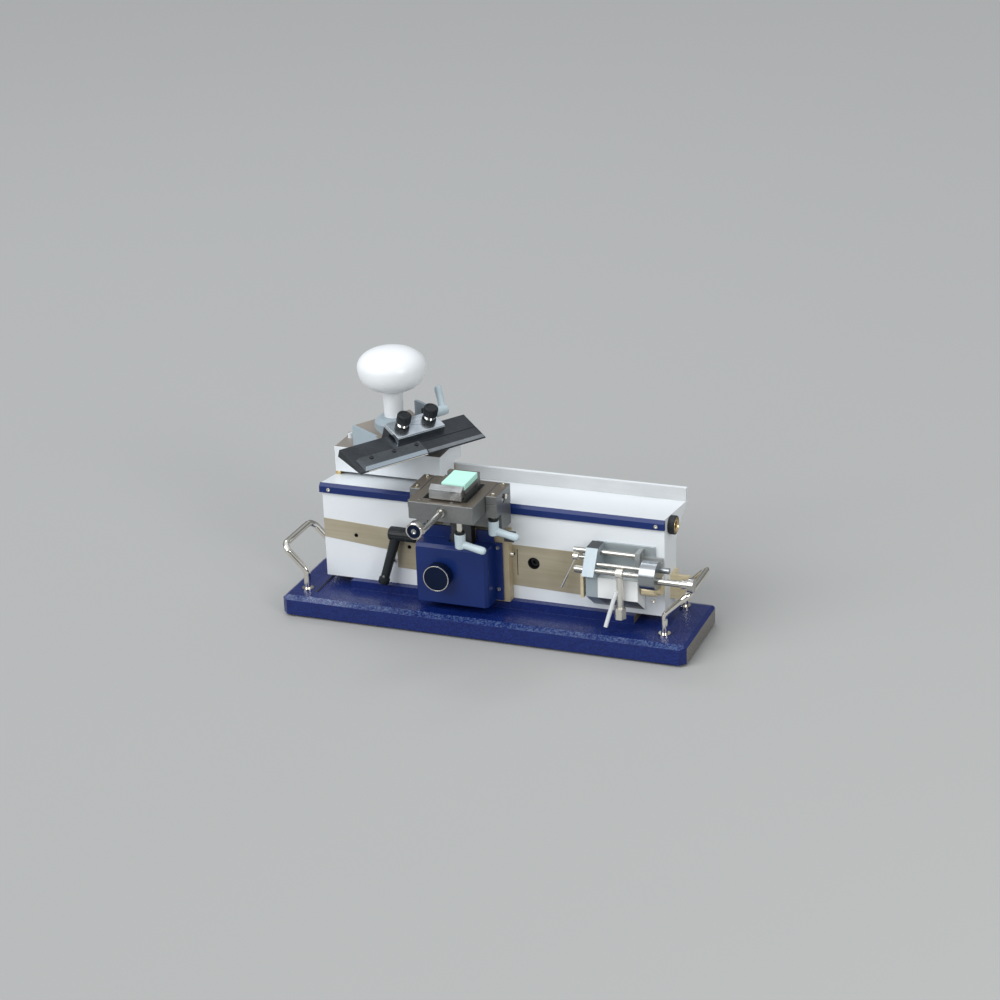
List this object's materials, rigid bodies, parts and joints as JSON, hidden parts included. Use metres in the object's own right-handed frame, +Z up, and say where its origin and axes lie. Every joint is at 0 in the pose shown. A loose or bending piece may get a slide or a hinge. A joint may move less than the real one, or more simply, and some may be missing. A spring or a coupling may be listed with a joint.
{
  "type": "sledge microtome",
  "caption": "Bench sledge microtome: heavy base with bail handles, inclined way, hand-pushed knife sledge, rack-fed tilting specimen head and an indexing unit.",
  "frame": {"origin": "centre of the bounding box in plan, at the underside of the rubber feet", "axes": "+X along the bed towards the indexing unit, +Y away from the operator, +Z up"},
  "size_m": [0.5146, 0.2688, 0.3026],
  "materials": {
    "navy_paint": "hammered gloss enamel",
    "navy_satin": "smooth satin enamel",
    "white_paint": "smooth satin enamel",
    "white_gloss": "polished",
    "gray_paint": "satin enamel",
    "ground_steel": "ground flat",
    "tan_steel": "ground, lightly tarnished",
    "head_steel": "phosphated and ground",
    "dark_steel": "blued",
    "chrome": "polished",
    "alloy": "turned and milled",
    "cream_plate": "zinc, yellow chromated",
    "brass": "turned",
    "rubber": "matt",
    "black_plastic": "fine grained",
    "navy_plastic": "polished",
    "gray_plastic": "satin moulded",
    "mint_plastic": "moulded"
  },
  "bodies": {
    "frame": {"base_plate": "navy_paint", "rubber_feet": "rubber", "handle_left": "chrome", "handle_right": "chrome", "bed": "white_paint", "way_wall": "ground_steel", "cover_rail": "navy_satin", "guide_band": "tan_steel", "front_screws": "chrome", "end_lug": "cream_plate", "carriage_plate": "tan_steel", "feed_housing": "navy_satin", "slide_stop": "dark_steel", "shaft_bush": "brass", "index_plate": "ground_steel", "index_bracket": "alloy", "index_supports": "cream_plate", "index_end_plate": "alloy", "index_rods": "chrome", "index_drum": "alloy"},
    "end_knob": {"end_knob": "brass"},
    "feed_knob": {"feed_knob": "navy_plastic", "knob_ring": "chrome", "feed_pinion": "ground_steel"},
    "clamp_lever": {"clamp_lever": "black_plastic", "clamp_stud": "ground_steel"},
    "head": {"feed_rack": "ground_steel", "head_fork": "head_steel", "bearing_caps": "head_steel", "cap_screws": "chrome"},
    "tilt_lever": {"tilt_lock_lever": "gray_plastic"},
    "tilt_frame": {"tilt_frame": "head_steel", "trunnions": "ground_steel"},
    "roll_lever": {"roll_lock_lever": "gray_plastic"},
    "cradle": {"roll_cradle": "head_steel", "cassette_seat": "head_steel", "cassette": "mint_plastic"},
    "jaw": {"front_jaw": "chrome"},
    "jaw_screw": {"jaw_screw": "chrome", "jaw_knob": "navy_plastic"},
    "sledge": {"sledge": "white_paint", "sledge_top": "ground_steel", "way_pads": "brass", "knob_neck": "white_gloss", "push_knob": "white_gloss"},
    "swivel": {"swivel_base": "gray_paint"},
    "holder": {"knife_saddle": "dark_steel", "knife": "dark_steel", "blade_clamp": "dark_steel", "blade": "ground_steel", "blade_screws": "chrome", "clamp_bridge": "chrome", "bridge_studs": "chrome"},
    "bridge_knob_left": {"bridge_knob_left": "black_plastic"},
    "bridge_knob_right": {"bridge_knob_right": "black_plastic"},
    "knife_lever": {"knife_tilt_lever": "gray_plastic"},
    "index_arm": {"index_arm": "chrome", "index_lever": "chrome"},
    "drive_shaft": {"drive_shaft": "chrome"},
    "trip_lever": {"trip_lever": "chrome"}
  },
  "joints": [
    {"name": "sledge_slide", "type": "slide", "parent": "frame", "child": "sledge", "axis": [1, 0, 0], "range_m": [0, 0.275]},
    {"name": "knife_swivel", "type": "hinge", "parent": "sledge", "child": "swivel", "pos_m": [-0.14483, 0.08262, 0.1826], "axis": [0, 0, 1], "range_deg": [-15, 20]},
    {"name": "knife_tilt", "type": "hinge", "parent": "swivel", "child": "holder", "pos_m": [-0.11564, 0.06403, 0.1976], "axis": [0.5373, 0.8434, 0], "range_deg": [-5, 5]},
    {"name": "knife_lever_turn", "type": "hinge", "parent": "swivel", "child": "knife_lever", "pos_m": [-0.10343, 0.10368, 0.2176], "axis": [0.5373, 0.8434, 0], "range_deg": [-30, 60]},
    {"name": "bridge_knob_left_turn", "type": "hinge", "parent": "holder", "child": "bridge_knob_left", "pos_m": [-0.11382, 0.03975, 0.23037], "axis": [0.3022, -0.1926, 0.9336], "range_deg": [-180, 180]},
    {"name": "bridge_knob_right_turn", "type": "hinge", "parent": "holder", "child": "bridge_knob_right", "pos_m": [-0.09324, 0.07205, 0.23037], "axis": [0.3022, -0.1926, 0.9336], "range_deg": [-180, 180]},
    {"name": "specimen_feed", "type": "slide", "parent": "frame", "child": "head", "axis": [0, 0, 1], "range_m": [-0.005, 0.02]},
    {"name": "feed_knob_turn", "type": "hinge", "parent": "frame", "child": "feed_knob", "pos_m": [-0.04707, -0.00737, 0.0709], "axis": [0, -1, 0], "range_deg": [-36, 144]},
    {"name": "clamp_lever_swing", "type": "hinge", "parent": "frame", "child": "clamp_lever", "pos_m": [-0.10627, 0.00264, 0.101], "axis": [1, 0, 0], "range_deg": [-80, 4]},
    {"name": "head_tilt", "type": "hinge", "parent": "head", "child": "tilt_frame", "pos_m": [-0.02428, -0.01286, 0.1682], "axis": [1, 0, 0], "range_deg": [-8, 8]},
    {"name": "tilt_lever_turn", "type": "hinge", "parent": "head", "child": "tilt_lever", "pos_m": [0.02098, -0.02737, 0.1446], "axis": [0, 0, 1], "range_deg": [-55, 0]},
    {"name": "head_roll", "type": "hinge", "parent": "tilt_frame", "child": "cradle", "pos_m": [-0.02332, -0.03737, 0.1688], "axis": [0, 1, 0], "range_deg": [-4.5, 4.5]},
    {"name": "roll_lever_turn", "type": "hinge", "parent": "tilt_frame", "child": "roll_lever", "pos_m": [-0.00777, -0.05937, 0.1416], "axis": [0, 0, 1], "range_deg": [-60, 45]},
    {"name": "jaw_screw_turn", "type": "hinge", "parent": "cradle", "child": "jaw_screw", "pos_m": [-0.02332, -0.08736, 0.1688], "axis": [0, 1, 0], "range_deg": [0, 630]},
    {"name": "jaw_slide", "type": "slide", "parent": "cradle", "child": "jaw", "axis": [0, -1, 0], "range_m": [0, 0.0035]},
    {"name": "end_knob_turn", "type": "hinge", "parent": "frame", "child": "end_knob", "pos_m": [0.21973, 0.03313, 0.1388], "axis": [1, 0, 0], "range_deg": [-90, 90]},
    {"name": "index_arm_swing", "type": "hinge", "parent": "frame", "child": "index_arm", "pos_m": [0.16972, -0.02207, 0.0956], "axis": [1, 0, 0], "range_deg": [-40, 4]},
    {"name": "drive_shaft_turn", "type": "hinge", "parent": "frame", "child": "drive_shaft", "pos_m": [0.23372, -0.02236, 0.0919], "axis": [1, 0, 0], "continuous": true},
    {"name": "trip_lever_swing", "type": "hinge", "parent": "frame", "child": "trip_lever", "pos_m": [0.11073, -0.00136, 0.1016], "axis": [1, 0, 0], "range_deg": [-15, 15]}
  ],
  "couplings": [
    {"joint": "feed_knob_turn", "follows": "specimen_feed", "rad_per_m": 125},
    {"joint": "jaw_screw_turn", "follows": "jaw_slide", "rad_per_m": 3141.5}
  ]
}
